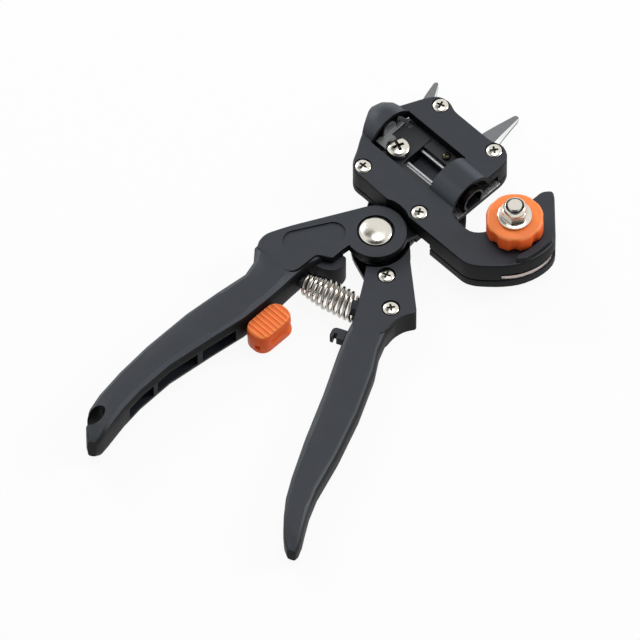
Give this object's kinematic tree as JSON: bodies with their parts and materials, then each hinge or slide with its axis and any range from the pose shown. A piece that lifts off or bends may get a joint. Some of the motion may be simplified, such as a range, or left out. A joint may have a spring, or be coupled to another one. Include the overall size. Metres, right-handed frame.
{
  "type": "grafting pruner",
  "caption": "Grafting pruner: two black handles drive an omega grafting punch against an orange anvil wheel and close a pair of pruning blades; return spring and lock slider",
  "frame": {"origin": "on the pivot axis at the flat back of the rivet, which is the plane that the tool rests on", "axes": "+X the way the punch drives towards the anvil wheel, +Y from the pivot to the blade tips, +Z out of the screw side"},
  "size_m": [0.1083, 0.2052, 0.0344],
  "materials": {
    "black_nylon": "moulded, fine grained",
    "dark_carriage": "moulded, smooth",
    "orange_nylon": "moulded, satin",
    "nickel_steel": "nickel plated",
    "spring_steel": "drawn wire, plated",
    "blade_steel": "ground satin",
    "plate_steel": "pressed, plated"
  },
  "bodies": {
    "frame": {"head_cover": "black_nylon", "head_base": "black_nylon", "backbone_plate": "plate_steel", "cover_screw_1": "nickel_steel", "cover_screw_2": "nickel_steel", "cover_screw_3": "nickel_steel", "cover_screw_4": "nickel_steel", "left_handle": "black_nylon", "pivot_rivet": "nickel_steel", "pivot_spacer": "plate_steel", "fixed_blade": "blade_steel", "blade_standoff": "plate_steel", "blade_screw": "nickel_steel", "anvil_bolt": "nickel_steel", "anvil_washer": "nickel_steel", "anvil_nut": "nickel_steel", "return_spring": "spring_steel"},
    "lever": {"right_handle": "black_nylon", "moving_blade": "blade_steel", "handle_screw_1": "nickel_steel", "handle_screw_2": "nickel_steel", "drive_pin": "plate_steel"},
    "carriage": {"die_carriage": "dark_carriage", "omega_blade": "blade_steel", "clamp_plate": "plate_steel", "clamp_screw": "nickel_steel", "blade_clip_screw": "nickel_steel"},
    "anvil": {"anvil_wheel": "orange_nylon"},
    "lock": {"lock_slider": "orange_nylon"}
  },
  "joints": [
    {"name": "handle_squeeze", "type": "hinge", "parent": "frame", "child": "lever", "pos_m": [0, 0, 0], "axis": [0, 0, 1], "range_deg": [-24, 0], "stiffness_Nm_per_rad": 0.8, "springref_deg": 11.46, "deforming": ["return_spring"]},
    {"name": "punch_slide", "type": "slide", "parent": "frame", "child": "carriage", "axis": [1, 0, 0], "range_m": [0, 0.0094]},
    {"name": "anvil_turn", "type": "hinge", "parent": "frame", "child": "anvil", "pos_m": [0.03485, 0.033, 0.0183], "axis": [0, 0, 1], "continuous": true},
    {"name": "lock_slide", "type": "slide", "parent": "frame", "child": "lock", "axis": [0, 1, 0], "range_m": [0, 0.004]}
  ],
  "couplings": [
    {"joint": "punch_slide", "follows": "handle_squeeze", "m_per_rad": -0.02233}
  ]
}
